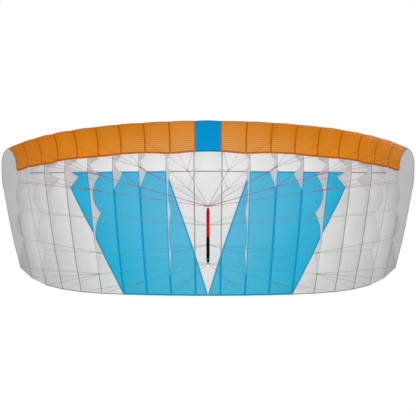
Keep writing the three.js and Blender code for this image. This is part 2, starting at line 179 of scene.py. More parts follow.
# Joints of the side with positive X. Columns: tree, row, ribs served, x, z, diameter of the splice.
JOINTS = (
    ("front", "a", (1, 2, 3), 0.144, 0.456, 0.003),
    ("front", "a", (4, 5, 6), 0.474, 0.474, 0.0052),
    ("front", "a", (7, 8, 9, 10), 0.794, 0.428, 0.0052),
    ("front", "b", (1, 2, 3), 0.138, 0.324, 0.003),
    ("front", "b", (4, 5, 6), 0.482, 0.338, 0.0052),
    ("front", "b", (7, 8, 9, 10), 0.798, 0.312, 0.0052),
    ("mid", "c", (8, 10), 0.762, 0.118, 0.003),
    ("brake", "d", (8, 10), 0.763, -0.122, 0.003),
    ("brake", "brake", (1, 2, 3), 0.147, -0.322, 0.003),
    ("brake", "brake", (4, 5, 6), 0.452, -0.327, 0.003),
    ("brake", "brake", (7, 8, 9, 10), 0.760, -0.270, 0.003),
)
# Lines that run from a rib to the bar without a joint. Columns: tree, row, ribs.
DIRECT = (("mid", "c", (2, 5)), ("aft", "d", (2, 5)))
# Columns: y and z where the lines of a tree meet, z at the bar, whether knotted through a hole.
MEETING = {
    "front": (0.245, 0.201, 0.149, True),
    "mid": (0.048, 0.070, 0.068, False),
    "aft": (0.048, -0.066, -0.064, False),
    "brake": (0.265, -0.196, -0.165, True),
}
BRAKE_STATION = 0.997
BRAKE_INSET = 0.0017
# Eyes at the ribs. Columns for a row: how far they keep from the sewn place, and reach into the cloth.
ROW_EYES = {
    "a": (0.0011, 0.002),
    "b": (0.0008, 0.0035),
    "c": (0.0008, 0.0035),
    "d": (0.0008, 0.0035),
    "brake": (0.0009, 0.002),
}
EYE_NECK = 0.004
EYE_CENTRE = 0.002
EYE_HALF = (0.0035, 0.0014)
EYE_STRAND = 0.0011
# Whippings. Columns: length, width of the thread, turns, steps in a turn, half the width of a round one.
EYE_WHIPPING = (0.007, 0.0008, 5, 8, 0.0013)
JOINT_WHIPPING = (0.010, 0.0014, 7, 14)
MEETING_WHIPPING = (0.008, 0.0014, 5, 20)
BAR_WHIPPING = (0.007, 0.0013, 4, 14, 0.0024)
STOPPER_KNOT = (0.0044, 0.0016, 3, 14, 0.003)
# How far they sit from the line's end or from the bar.
EYE_WHIPPING_BACK = 0.003
BAR_WHIPPING_OFF = 0.004
STOPPER_OFF = 0.0025
# A splice is full from this share of its length up to its neck, and narrows to its end in the knot.
SPLICE_SHOULDER = 0.7
SPLICE_NECK = 0.006
LINE_END = 0.8  # width of a line's end next to the line
JOINT_HALF_DEPTH = 0.0016
UPPER_TUCK = 0.003
MEETING_TUCK = 0.002
MEETING_MARGIN = 0.0006
MEETING_LAYER = 0.0011
LEADER_GAP = 0.0004  # from the bar, where it isn't knotted through
LEADER_PAST = 0.006  # past the bar, where it is
LEADER_TAPER = 0.0015

# Bar
BAR_RADIUS = 0.011
BAR_HALF = 0.189
BAR_SIDES = 56
BAR_COLOUR_JOINT_Z = -0.011
BAR_SLIT = 0.0003
# Columns: distance from the coloured joint, radius in shares of the bar's.
BAR_MIDDLE = ((0.0, 0.97), (0.0004, 1.0), (0.04, 1.0), (0.08, 1.0))
# Columns: distance from the end, radius in shares of the bar's.
BAR_GROOVE = ((0.052, 1.0), (0.0515, 0.965), (0.0505, 0.965), (0.050, 0.998))
FRONT_END = BAR_GROOVE + (
    (0.040, 0.985),
    (0.030, 0.955),
    (0.019, 0.885),
    (0.010, 0.82),
    (0.005, 0.78),
    (0.0025, 0.745),
    (0.0009, 0.69),
    (0.0, 0.58),
)
REAR_END = BAR_GROOVE + (
    (0.040, 0.993),
    (0.032, 0.985),
    (0.020, 0.94),
    (0.013, 0.885),
    (0.008, 0.825),
    (0.004, 0.74),
    (0.0018, 0.655),
    (0.0006, 0.57),
    (0.0, 0.44),
)
# Bore. Columns: distance from the bar's axis, radius.
BORE_MOUTH = ((0.0135, 0.0046), (0.0113, 0.0036), (0.0094, 0.0024))
BORE_SIDES = 24

# Shades of the cloths: pale, deep, sewn and thread.
WHITE_THREAD = (0.6, 0.6, 0.6)
BLUE_THREAD = (0.03, 0.33, 0.58)
WHITE = ((0.745, 0.745, 0.745), (0.71, 0.71, 0.715), (0.24, 0.245, 0.235), WHITE_THREAD)
BLUE = ((0.03, 0.455, 0.675), (0.023, 0.43, 0.65), (0.0, 0.295, 0.575), BLUE_THREAD)
ORANGE = ((0.72, 0.288, 0.034), (0.68, 0.268, 0.028), (0.475, 0.1, 0.0), (0.6, 0.2, 0.02))
NOSE_BLUE = ((0.0, 0.286, 0.6), (0.0, 0.268, 0.575), (0.002, 0.16, 0.42), BLUE_THREAD)
RIB = ((0.645, 0.628, 0.628), (0.62, 0.604, 0.604), (0.54, 0.524, 0.524), WHITE_THREAD)
# The ribs over the blue panels are warmer and darker: painted light that cancels the blue light the panels
# throw on them.
INNER_RIB = ((0.61, 0.57, 0.562), (0.585, 0.546, 0.538), (0.53, 0.5, 0.495), WHITE_THREAD)
OUTER_RIB = ((0.7, 0.692, 0.694), (0.672, 0.664, 0.666), (0.66, 0.652, 0.654), WHITE_THREAD)
# The tip panels are greyer than the other ribs: painted shade for the tips, which get less light.
TIP = ((0.57, 0.57, 0.57), (0.54, 0.54, 0.545), (0.52, 0.52, 0.525), WHITE_THREAD)

# Tones laid over a cloth one on another. Columns: colour, strength, and the distances from the middle of
# the span and along the chord between which the tone comes in. The second distance may be the smaller one.
# Painted light and shade on the white skin: darker towards the tips near the nose, paler in front of the
# cross seam away from the tips where the nose shades it, and darker in the last cell.
WHITE_PAINTED_LIGHT = (
    ((0.67, 0.67, 0.675), 1.0, (1.2, 1.5), (0.65, 0.4)),
    ((0.79, 0.79, 0.79), 1.0, (1.2, 0.9), (0.5, 0.35)),
    ((0.6, 0.6, 0.605), 1.0, (1.643, 1.655), None),
)
BLUE_TONES = (
    ((0.104, 0.466, 0.65), 1.0, (0.9, 0.1), None),
    ((0.125, 0.46, 0.66), 0.28, (0.94, 0.84), (1.0, 0.4)),
    ((0.0, 0.455, 0.65), 0.24, None, (0.75, 1.1)),
)
# Painted light on the orange nose: paler in the middle, and brighter and redder towards the tips, where the
# nose turns away from the light.
ORANGE_PAINTED_LIGHT = (
    ((0.655, 0.222, 0.006), 1.0, (0.15, 0.6), None),
    ((0.805, 0.242, 0.001), 1.0, (0.75, 1.4), None),
)
# Painted light on the nose: paler at its hem, in the middle and at the tips, where the nose faces the light,
# and with the same pale tone where a cell is fullest.
ORANGE_HEM = (0.67, 0.322, 0.078)
ORANGE_OUTER_HEM = (0.78, 0.275, 0.018)
# Columns: distances from the middle of the span, from a rib or from the hem, strengths there.
OUTER_HEM_TONE = (0.35, 1.0, 0.0, 1.0)
FULLEST_PAINTED_LIGHT = (0.015, 0.085, 0.0, 0.22)
HEM_PAINTED_LIGHT = (0.015, 0.17, 0.9, 0.0)

# Sewing and weave
SEAM_TONE = 0.92
SEAM_RELIEF = 0.0009
CROSS_SEAM_END = (1.445, 1.475, 1.0, 0.1)  # distances from the middle of the span, strengths there
STITCH_TONE = 0.5
STITCH_RELIEF = 0.0005
RIPSTOP_PITCH = 0.006
RIPSTOP_WIDTH = 0.0009
RIPSTOP_TONE = 0.16
RIPSTOP_RELIEF = 0.00012
PLEAT_PITCH = 0.014
PLEAT_WIDTH = 0.0052
PLEAT_RELIEF = 0.0009
# Creases. Columns: how many there are in a metre of the span and of the chord.
SHORT_CREASES = (7.0, 46.0, 0.0)
SHORT_CREASE_REACH = 0.055  # from a rib seam
SHORT_CREASE_RELIEF = 0.006
LONG_CREASES = (5.0, 2.6, 0.0)
LONG_CREASE_RELIEF = 0.012

# Braids of the lines. Columns: pale and deep shade.
BRAIDS = {
    "red_line_braid": ((0.6, 0.012, 0.05), (0.42, 0.008, 0.03)),
    "olive_line_braid": ((0.5, 0.5, 0.1), (0.4, 0.4, 0.07)),
    "grey_green_line_braid": ((0.33, 0.43, 0.29), (0.25, 0.33, 0.21)),
    "green_line_braid": ((0.24, 0.64, 0.1), (0.18, 0.53, 0.07)),
    "dark_red_leader_braid": ((0.36, 0.008, 0.02), (0.25, 0.004, 0.012)),
    "grey_leader_braid": ((0.22, 0.28, 0.2), (0.15, 0.19, 0.13)),
}
# Columns: tree, slot, and its braids, the last of them for its leader.
TREES = (
    ("front", "line_red", ("red_line_braid", "dark_red_leader_braid")),
    ("mid", "line_olive", ("olive_line_braid",)),
    ("aft", "line_grey_green", ("grey_green_line_braid",)),
    ("brake", "line_green", ("green_line_braid", "grey_leader_braid")),
)

# Shades of the grips: pale, deep, rubbed by hands, round the hole, and at the end. Round the hole is painted
# light, a shade on the red grip and a highlight on the black; at the end is painted shade.
RED_GRIP = (
    (0.64, 0.001, 0.001), (0.54, 0.0005, 0.0005), (0.7, 0.015, 0.012), (0.2, 0.0, 0.0), (0.45, 0.0, 0.0)
)
BLACK_GRIP = [(grey, grey, grey) for grey in (0.004, 0.002, 0.009, 0.05, 0.002)]
# Columns: distances along the bar or from the hole, strengths there.
GRIP_RUBBED = (0.02, 0.15, 0.25, 0.0)
GRIP_END_PAINTED_SHADE = (0.153, 0.165, 0.0, 1.0)
HOLE_PAINTED_LIGHT = (0.004, 0.0105, 0.85, 0.0)

# Camera, light and floor
VIEW_WIDTH = 2.912  # metres across the frame at the canopy
VIEW_PLANE_Y = 1.05
VIEW_CENTRE_Z = 0.189
CAMERA_AWAY = 130
SENSOR = 36
# Columns: name, turn in degrees, energy, degrees that the sun is wide.
FILLS = (
    ("left_fill", (90, 0, -42), 0.1, 60),
    ("right_fill", (90, 0, 42), 0.18, 60),
    ("back_fill", (-55, 0, 25), 1.6, 40),
)
WALL_LIGHT = 0.28  # next to how bright the wall looks
FLOOR_SHADES = ((0.86, 0.86, 0.86), (0.9, 0.9, 0.9))


# Studio


def place_camera():
    place = (0, VIEW_PLANE_Y - CAMERA_AWAY, VIEW_CENTRE_Z)
    bpy.ops.object.camera_add(location=place, rotation=(pi / 2, 0, 0))
    camera = bpy.context.object
    camera.name = "front_camera"
    camera.data.sensor_width = SENSOR
    camera.data.lens = SENSOR * CAMERA_AWAY / VIEW_WIDTH
    camera.data.clip_end = 1000
    bpy.context.scene.camera = camera


def place_key(away=60, throw=61.5, reach=2.3, aim_z=0.52, energy=110500, size=0.12):
    """A soft spot in front of the bar. It throws a pool of light on the canopy with a radius of its reach."""
    aim = atan2(aim_z - VIEW_CENTRE_Z, throw)
    place = (0, -away, VIEW_CENTRE_Z)
    bpy.ops.object.light_add(type="SPOT", location=place, rotation=(pi / 2 + aim, 0, 0))
    key = bpy.context.object
    key.name = "soft_key"
    key.data.energy = energy
    key.data.spot_size = 2 * atan2(reach, throw)
    key.data.spot_blend = 1.0
    key.data.shadow_soft_size = size


def place_fills():
    for name, turn, energy, wide in FILLS:
        bpy.ops.object.light_add(type="SUN", rotation=[radians(part) for part in turn])
        sun = bpy.context.object
        sun.name = name
        sun.data.energy = energy
        sun.data.angle = radians(wide)


def place_wall():
    """The studio's white wall, which is brighter than the light that it gives."""
    world = bpy.data.worlds.new("studio")
    bpy.context.scene.world = world
    world.use_nodes = True
    nodes, links = world.node_tree.nodes, world.node_tree.links
    backdrop = nodes["Background"]
    backdrop.inputs["Color"].default_value = (1, 1, 1, 1)
    wall = nodes.new("ShaderNodeLightPath")
    strength = nodes.new("ShaderNodeMapRange")
    strength.inputs["To Min"].default_value = WALL_LIGHT
    strength.inputs["To Max"].default_value = 1.0
    links.new(wall.outputs["Is Camera Ray"], strength.inputs["Value"])
    links.new(strength.outputs[0], backdrop.inputs["Strength"])
    bpy.context.scene.view_settings.view_transform = "Standard"


def place_floor(size=40, z=-1.7):
    bpy.ops.mesh.primitive_plane_add(size=size, location=(0, 0, z))
    floor = bpy.context.object
    floor.name = "studio_floor"
    paint = Finish("floor_paint")
    grain = paint.noise(paint.object_place(), scale=3, detail=4)
    paint.colour(paint.blend(grain, *FLOOR_SHADES))
    paint.set("Roughness", 0.8)
    floor.data.materials.append(paint.material)


# Materials


class Finish:
    """A material that is put together node by node."""

    def __init__(self, name):
        self.material = bpy.data.materials.new(name)
        self.material.use_nodes = True
        self.tree = self.material.node_tree
        self.shader = self.tree.nodes["Principled BSDF"]

    def put(self, value, socket):
        if isinstance(value, bpy.types.NodeSocket):
            self.tree.links.new(value, socket)
        elif socket.type == "RGBA":
            socket.default_value = (*value, 1)
        else:
            socket.default_value = value

    def set(self, name, value):
        self.put(value, self.shader.inputs[name])

    def add(self, kind, inputs=(), **settings):
        node = self.tree.nodes.new(kind)
        for key, value in settings.items():
            setattr(node, key, value)
        for key, value in dict(inputs).items():
            self.put(value, node.inputs[key])
        return node

    def math(self, operation, *values):
        return self.add("ShaderNodeMath", enumerate(values), operation=operation).outputs[0]

    def times(self, *values):
        return reduce(lambda one, other: self.math("MULTIPLY", one, other), values)

    def highest(self, *values):
        return reduce(lambda one, other: self.math("MAXIMUM", one, other), values)

    def ramp(self, value, low, high, start=0.0, end=1.0):
        inputs = enumerate((value, low, high, start, end))
        return self.add("ShaderNodeMapRange", inputs, interpolation_type="SMOOTHSTEP").outputs[0]

    def within(self, value, limits):
        """Goes smoothly from 0 at the first limit to 1 at the second, which may be the smaller one."""
        first, second = limits
        if first < second:
            return self.ramp(value, first, second)
        return self.ramp(value, second, first, 1.0, 0.0)

    def blend(self, share, one, other):
        inputs = {0: share, 6: one, 7: other}
        return self.add("ShaderNodeMix", inputs, data_type="RGBA").outputs[2]

    def object_place(self):
        return self.add("ShaderNodeTexCoord").outputs["Object"]

    def sewn(self, name):
        return self.add("ShaderNodeAttribute", attribute_name=name).outputs["Vector"]

    def split(self, vector):
        return self.add("ShaderNodeSeparateXYZ", {0: vector}).outputs[:3]

    def stretched(self, vector, scale):
        return self.add("ShaderNodeVectorMath", {0: vector, 1: scale}, operation="MULTIPLY").outputs[0]

    def noise(self, place, scale=1.0, detail=3.0):
        inputs = {"Vector": place, "Scale": scale, "Detail": detail}
        return self.add("ShaderNodeTexNoise", inputs).outputs[0]

    def threads(self, distance, pitch, width):
        """Raised at every pitch along a distance, and flat between."""
        share = self.math("PINGPONG", self.math("DIVIDE", distance, pitch), 0.5)
        return self.ramp(share, 0.0, width / pitch, 1.0, 0.0)

    def colour(self, value):
        self.set("Base Color", value)

    def relief(self, *layers):
        """Bumps one on another. A layer is a height and how high it stands in metres."""
        below = None
        for height, stands in layers:
            inputs = {"Strength": 1.0, "Distance": stands, "Height": height}
            node = self.add("ShaderNodeBump", inputs)
            if below:
                self.tree.links.new(below, node.inputs["Normal"])
            below = node.outputs[0]
        self.set("Normal", below)


def toned(cloth, shade, tones, outwards, chord):
    """The shade of a cloth with its tones laid over it."""
    for colour, strength, across, along in tones:
        share = strength
        for distance, limits in ((outwards, across), (chord, along)):
            if limits:
                share = cloth.times(cloth.within(distance, limits), share)
        shade = cloth.blend(share, shade, colour)
    return shade


def nose_painted_light(cloth, shade, rib, outwards, chord):
    """The shade of the nose with painted light: paler where a cell is fullest and at the hem."""
    shade = cloth.blend(cloth.ramp(rib, *FULLEST_PAINTED_LIGHT), shade, ORANGE_HEM)
    hem = cloth.blend(cloth.ramp(outwards, *OUTER_HEM_TONE), ORANGE_HEM, ORANGE_OUTER_HEM)
    return cloth.blend(cloth.ramp(chord, *HEM_PAINTED_LIGHT), shade, hem)


def seam_bands(cloth, distances, seams, outwards, cross_ends, inner=0.72, outer=1.15):
    """Bands along the seams, with soft edges. The cross seam may end before the tip."""
    bands = []
    for distance, half in zip(distances, seams):
        if half:
            bands.append(cloth.within(distance, (half * outer, half * inner)))
    if cross_ends:
        bands[1] = cloth.times(bands[1], cloth.ramp(outwards, *CROSS_SEAM_END))
    return cloth.highest(*bands)


def stitch_rows(cloth, distance, along, beside=0.0032, width=0.0007, pitch=0.0045):
    """A row of stitches on each side of a seam."""
    row = cloth.threads(cloth.math("SUBTRACT", distance, beside), 1.0, width)
    gap = cloth.math("PINGPONG", cloth.math("DIVIDE", along, pitch), 0.5)
    return cloth.times(row, cloth.ramp(gap, 0.12, 0.18))


def cloth_finish(
    name, shades, seams, rough, tones=(), hem=False, cross_ends=False,
    pleats=0.0, creases=1.0, gloss=0.16, fuzz=0.0, nap=0.6,
):
    """Coated ripstop. Half widths of its seams are those along ribs, across the span and on the slant."""
    pale, deep, sewn, thread = shades
    cloth = Finish(name)
    distances = cloth.split(cloth.sewn("joints"))
    rib, cross, _ = distances
    cut = cloth.sewn("cut")
    span, chord, _ = cloth.split(cut)
    outwards = cloth.math("ABSOLUTE", span)
    clouds = cloth.noise(cut, scale=5.0, detail=4.0)
    shade = cloth.blend(cloth.ramp(clouds, 0.3, 0.7), pale, deep)
    # Tones laid over the shade; those of the white skin and of the orange nose are painted light and shade.
    shade = toned(cloth, shade, tones, outwards, chord)
    # The nose gets painted light: paler at its hem and where its cells are fullest.
    if hem:
        shade = nose_painted_light(cloth, shade, rib, outwards, chord)
    grid = cloth.highest(*(cloth.threads(way, RIPSTOP_PITCH, RIPSTOP_WIDTH) for way in (span, chord)))
    shade = cloth.blend(cloth.times(grid, RIPSTOP_TONE), shade, sewn)
    folds = []
    if pleats:
        fold = cloth.threads(chord, PLEAT_PITCH, PLEAT_WIDTH)
        shade = cloth.blend(cloth.times(fold, pleats), shade, sewn)
        folds.append((fold, PLEAT_RELIEF))
    # Sewn bands are darker because two or three cloths lie on each other there.
    bands = seam_bands(cloth, distances, seams, outwards, cross_ends)
    shade = cloth.blend(cloth.times(bands, SEAM_TONE), shade, sewn)
    stitches = cloth.highest(stitch_rows(cloth, rib, chord), stitch_rows(cloth, cross, span))
    cloth.colour(cloth.blend(cloth.times(stitches, STITCH_TONE), shade, thread))
    # Short creases stand square to the rib seams, and long soft ones run over the panels.
    short = cloth.noise(cloth.stretched(cut, SHORT_CREASES), detail=2.0)
    near = cloth.within(rib, (SHORT_CREASE_REACH, 0.0))
    long = cloth.noise(cloth.stretched(cut, LONG_CREASES))
    cloth.relief(
        (cloth.times(short, near), SHORT_CREASE_RELIEF * creases),
        (long, LONG_CREASE_RELIEF * creases),
        (grid, RIPSTOP_RELIEF),
        (bands, SEAM_RELIEF),
        (stitches, STITCH_RELIEF),
        *folds,
    )
    worn = cloth.noise(cut, scale=26.0, detail=4.0)
    cloth.set("Roughness", cloth.ramp(worn, 0.2, 0.8, rough - 0.06, rough + 0.08))
    cloth.set("Specular IOR Level", gloss)
    cloth.set("Sheen Weight", fuzz)
    cloth.set("Sheen Roughness", nap)
    cloth.set("Diffuse Roughness", 0.3)
    return cloth.material


def white_skin_cloth():
    seams = (0.0042, 0.0037, 0.0022)
    return cloth_finish("white_skin_cloth", WHITE, seams, 0.5, WHITE_PAINTED_LIGHT, cross_ends=True)


def blue_skin_cloth():
    seams = (0.009, 0.0084, 0.0098)
    return cloth_finish("blue_skin_cloth", BLUE, seams, 0.5, BLUE_TONES, gloss=0.04)


def orange_nose_cloth():
    seams = (0.0068, 0.0135, 0)
    return cloth_finish(
        "orange_nose_cloth", ORANGE, seams, 0.48, ORANGE_PAINTED_LIGHT, hem=True,
        pleats=0.4, creases=0.8, gloss=0.07, fuzz=0.3, nap=0.2,
    )


def blue_nose_cloth():
    seams = (0.005, 0.0095, 0)
    return cloth_finish("blue_nose_cloth", NOSE_BLUE, seams, 0.48, pleats=0.05, creases=0.8, gloss=0.02)


def rib_panel_cloth(name, shades, fuzz=0.8):
    """A rib's seams are those along the skin and along its free edge."""
    seams = (0.004, 0.0042, 0)
    return cloth_finish(name, shades, seams, 0.52, creases=0.5, fuzz=fuzz)


def line_finish(name, strands=4.0, pitch=0.006):
    """A braided line: strands cross each other round it."""
    pale, deep = BRAIDS[name]
    line = Finish(name)
    across, over, along = line.split(line.sewn("lay"))
    turn = line.times(line.math("ARCTAN2", over, across), strands)
    run = line.times(along, 2 * pi / pitch)
    weave = line.highest(*(line.math("SINE", line.math(way, turn, run)) for way in ("ADD", "SUBTRACT")))
    raised = line.ramp(weave, -0.2, 0.9)
    worn = line.noise(line.object_place(), scale=9.0)
    shade = line.blend(line.ramp(worn, 0.3, 0.75), pale, deep)
    line.colour(line.blend(line.times(raised, 0.65), deep, shade))
    line.relief((raised, 0.0003))
    line.set("Roughness", line.ramp(raised, 0.0, 1.0, 0.75, 0.55))
    line.set("Specular IOR Level", 0.25)
    return line.material


def grip_finish(name, shades, hole_z):
    """Moulded soft grip with a fine grain, paler where hands rub it, with painted shade at its ends and
    painted light round its hole.
    """
    pale, deep, rubbed, mouth, end = shades
    grip = Finish(name)
    place = grip.object_place()
    grain = grip.noise(place, scale=900.0)
    clouds = grip.noise(place, scale=40.0, detail=4.0)
    across, _, along = grip.split(place)
    away = grip.math("ABSOLUTE", along)
    shade = grip.blend(grip.ramp(clouds, 0.25, 0.75), pale, deep)
    rub = grip.times(grip.ramp(away, *GRIP_RUBBED), grip.ramp(clouds, 0.45, 0.8))
    shade = grip.blend(rub, shade, rubbed)
    # Painted shade towards the ends.
    shade = grip.blend(grip.ramp(away, *GRIP_END_PAINTED_SHADE), shade, end)
    # Painted light round the hole: a shade on the red grip, a highlight on the black.
    from_hole = grip.math("SUBTRACT", along, hole_z)
    far = grip.math("SQRT", grip.math("ADD", grip.times(across, across), grip.times(from_hole, from_hole)))
    shade = grip.blend(grip.ramp(far, *HOLE_PAINTED_LIGHT), shade, mouth)
    grip.colour(grip.blend(grip.ramp(grain, 0.35, 0.75, 0.0, 0.3), shade, deep))
    grip.relief((grain, 0.0003), (clouds, 0.0006))
    grip.set("Roughness", grip.ramp(grain, 0.2, 0.8, 0.5, 0.68))
    grip.set("Specular IOR Level", 0.03)
    return grip.material


# Canopy shape

SECTION_RUN = [0.0]
for before, after in zip(SECTION, SECTION[1:]):
    SECTION_RUN.append(SECTION_RUN[-1] + hypot(after[0] - before[0], after[1] - before[1]))
NOSE_RUN = SECTION_RUN[NOSE_ROW]
SEAM_RUN = SECTION_RUN[SEAM_ROW]
LAST_RUN = SECTION_RUN[-1]


def section_slope(row):
    """How station, depth and billow change along the section at one of its rows."""
    rates = []
    for first in (row - 1, row):
        if 0 <= first < len(SECTION) - 1:
            length = SECTION_RUN[first + 1] - SECTION_RUN[first]
            rates.append((length, [(b - a) / length for a, b in zip(SECTION[first], SECTION[first + 1])]))
    if len(rates) == 1:
        return rates[0][1]
    (near, one), (far, other) = rates
    return [(a * far + b * near) / (near + far) for a, b in zip(one, other)]


SECTION_SLOPE = [section_slope(row) for row in range(len(SECTION))]


def section_at(run):
    """Station, depth and billow at a run along the smooth section, and the way it goes there."""
    row = 0
    while row < len(SECTION) - 2 and SECTION_RUN[row + 1] < run:
        row += 1
    length = SECTION_RUN[row + 1] - SECTION_RUN[row]
    t = (run - SECTION_RUN[row]) / length
    value, way = [], []
    for a, b, m, n in zip(SECTION[row], SECTION[row + 1], SECTION_SLOPE[row], SECTION_SLOPE[row + 1]):
        m, n = m * length, n * length
        cube, square = 2 * a - 2 * b + m + n, 3 * b - 3 * a - 2 * m - n
        value.append(((cube * t + square) * t + m) * t + a)
        way.append(((3 * cube * t + 2 * square) * t + m) / length)
    return value, way


def section_side(last, steps=600):
    """Runs of one side of the section, from its nose to the last run, and their stations."""
    runs = [NOSE_RUN + (last - NOSE_RUN) * k / steps for k in range(steps + 1)]
    return runs, [section_at(run)[0][0] for run in runs]


UPPER_SIDE = section_side(LAST_RUN)
LOWER_SIDE = section_side(0.0)


def run_at(station, side=UPPER_SIDE):
    """Run of the section where one of its sides reaches a station."""
    runs, stations = side
    high = min(max(bisect_left(stations, station), 1), len(stations) - 1)
    low = high - 1
    share = (station - stations[low]) / (stations[high] - stations[low])
    return runs[low] + (runs[high] - runs[low]) * share


def span_at(cells):
    """Distance along the arc so many cells from the middle. The outer cells are narrower."""
    narrowing = TIP_NARROWING * (cells / HALF_SPAN) ** 6
    return cells * CELL_WIDTH - (narrowing if cells > 0 else -narrowing)


HALF_SPAN_LENGTH = span_at(HALF_SPAN)


def span_share(cells):
    return abs(span_at(cells)) / HALF_SPAN_LENGTH


def trailing_height(cells):
    share = span_share(cells)
    longer, at, spread = TRAILING_FULLNESS
    extra = longer * exp(-(((share - at) / spread) ** 2))
    return TRAILING_Z + TRAILING_SWEEP * share**2 + TRAILING_TIP_SWEEP * share**6 - extra


def cell_frame(cells):
    """Height of the nose, chord, and how much deeper the section is, so many cells from the middle."""
    share = span_share(cells)
    top = LEADING_Z - LEADING_SWEEP * share**2 - LEADING_TIP_SWEEP * share**8
    # The trailing edge runs straight from rib to rib.
    before = min(floor(cells + HALF_SPAN), CELLS - 1) - HALF_SPAN
    place = cells - before
    end = trailing_height(before) * (1 - place) + trailing_height(before + 1) * place
    return top, top - end, 1 + TIP_DEEPER * share**4


def to_space(cells, radius, height):
    angle = span_at(cells) / ARC_RADIUS
    return Vector((radius * sin(angle), ARC_CENTRE_Y + radius * cos(angle), height))


def within(value, low, high):
    """Share of the way from the low value to the high one, from 0 to 1."""
    return min(max((value - low) / (high - low), 0.0), 1.0)


def ease(value, low, high):
    """Rises smoothly from 0 at the low value to 1 at the high one."""
    share = within(value, low, high)
    return share * share * (3 - 2 * share)


def tip_tuck(cells, run, station):
    tip = span_share(cells) ** 8
    if run < NOSE_RUN:
        return NOSE_TUCK * tip * ease(station, 0.0, 0.1)
    behind_nose = ease(station, 0.06, 0.28)
    halved = 1 - 0.5 * ease(station, 0.28, 0.95)
    before_end = 1 - min(station, 1.0) ** 20
    return TIP_TUCK * tip * behind_nose * halved * before_end


def section_point(cells, run, lift=0.0):
    """Radius from the arc's axis and height of a point of the section, lifted along its normal."""
    top, chord, deeper = cell_frame(cells)
    (station, depth, _), (station_way, depth_way, _) = section_at(run)
    out, up = station_way * chord, -depth_way * deeper * chord
    size = hypot(out, up)
    radius = ARC_RADIUS - (depth * deeper + tip_tuck(cells, run, station)) * chord + lift * out / size
    return radius, top - station * chord + lift * up / size


def cell_place(cells):
    """Place between two ribs, from 0 to 1."""
    return (cells + HALF_SPAN) % 1


def fullness(cells):
    """Goes from 0 at a rib to 1 in the middle of the cell."""
    place = cell_place(cells)
    return 4 * place * (1 - place)


def cloth_point(cells, run, lift=0.0):
    """Point of the canopy's cloth, which billows between the ribs and is a little slack."""
    billow = section_at(run)[0][2]
    slack = sum(sin(by_cell * cells + by_run * run + phase) for by_cell, by_run, phase in SLACK_WAVES)
    return to_space(cells, *section_point(cells, run, lift + fullness(cells) * (billow + SLACK * slack)))


def nearest_rib(cells):
    """Distance along the cloth to the nearest rib seam."""
    place = cell_place(cells)
    return min(place, 1 - place) * CELL_WIDTH


# Making pieces


def clear_selection():
    bpy.ops.object.select_all(action="DESELECT")


def start(name):
    """The primitive just added becomes a piece of its own, open for shaping."""
    piece = bpy.context.object
    piece.name = name
    piece.data.name = name
    bpy.ops.object.mode_set(mode="EDIT")
    bpy.ops.mesh.select_all(action="SELECT")
    return piece


def flat_grid(name, columns, rows):
    clear_selection()
    bpy.ops.mesh.primitive_grid_add(x_subdivisions=columns, y_subdivisions=rows, size=2, location=(0, 0, 0))
    return start(name)


def turned(name, sides, profile, unit=1.0):
    """A round solid along Z. Columns of its profile: height, radius in shares of a unit."""
    (height, radius), *steps = profile
    clear_selection()
    bpy.ops.mesh.primitive_circle_add(
        vertices=sides, radius=unit * radius, fill_type="NGON", location=(0, 0, 0)
    )
    piece = start(name)
    bpy.ops.transform.translate(value=(0, 0, height))
    for there, wide in steps:
        bpy.ops.mesh.extrude_region_move(TRANSFORM_OT_translate={"value": (0, 0, there - height)})
        bpy.ops.transform.resize(value=(wide / radius, wide / radius, 1), center_override=(0, 0, there))
        height, radius = there, wide
    bpy.ops.mesh.select_all(action="SELECT")
    bpy.ops.mesh.normals_make_consistent(inside=False)
    bpy.ops.object.mode_set(mode="OBJECT")
    return piece


def apply_modifier(piece, kind, **settings):
    modifier = piece.modifiers.new(kind.lower(), kind)
    for key, value in settings.items():
        setattr(modifier, key, value)
    bpy.context.view_layer.objects.active = piece
    bpy.ops.object.modifier_apply(modifier=modifier.name)


def smooth(piece, angle=40):
    clear_selection()
    piece.select_set(True)
    bpy.context.view_layer.objects.active = piece
    bpy.ops.object.shade_smooth_by_angle(angle=radians(angle))


def vectors(mesh, name, values):
    layer = mesh.attributes.new(name, "FLOAT_VECTOR", "POINT")
    layer.data.foreach_set("vector", [x for value in values for x in value])


def sew_up(piece, joints, cut, thickness, offset):
    """The shaped cloth learns how far its seams are and where it lay in the flat cut, and gets thick."""
    vectors(piece.data, "joints", joints)
    vectors(piece.data, "cut", cut)
    apply_modifier(piece, "SOLIDIFY", thickness=thickness, offset=offset)
    smooth(piece)


def settle(piece, slot, *nodes):
    """The finished piece rides on the frame and stands for its solids."""
    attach(piece, "root")
    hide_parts(*nodes)


# Skin and nose


def span_cloth(name, rows, low, high):
    """A flat cut over the span, in cells, from one edge to the other."""
    piece = flat_grid(name, COLUMNS * CELLS, rows)
    bpy.ops.transform.resize(value=(HALF_SPAN, (high - low) / 2, 1))
    bpy.ops.transform.translate(value=(0, (high + low) / 2, 0))
    return piece


def lay_cloths(piece, main, blue, is_blue):
    """The flat cut gets its main cloth, and the blue one where it is blue."""
    bpy.ops.object.mode_set(mode="OBJECT")
    for cloth in (main, blue):
        piece.data.materials.append(cloth)
    for face in piece.data.polygons:
        face.material_index = int(is_blue(face.center.x, face.center.y))
    return piece.data


def stretch_on_ribs(piece, joints, cut, slot, nodes):
    """The shaped cloth of the whole span is sewn up and held by the ribs."""
    piece.data.flip_normals()
    sew_up(piece, joints, cut, SKIN_CLOTH, offset=-1)
    settle(piece, slot, *nodes)


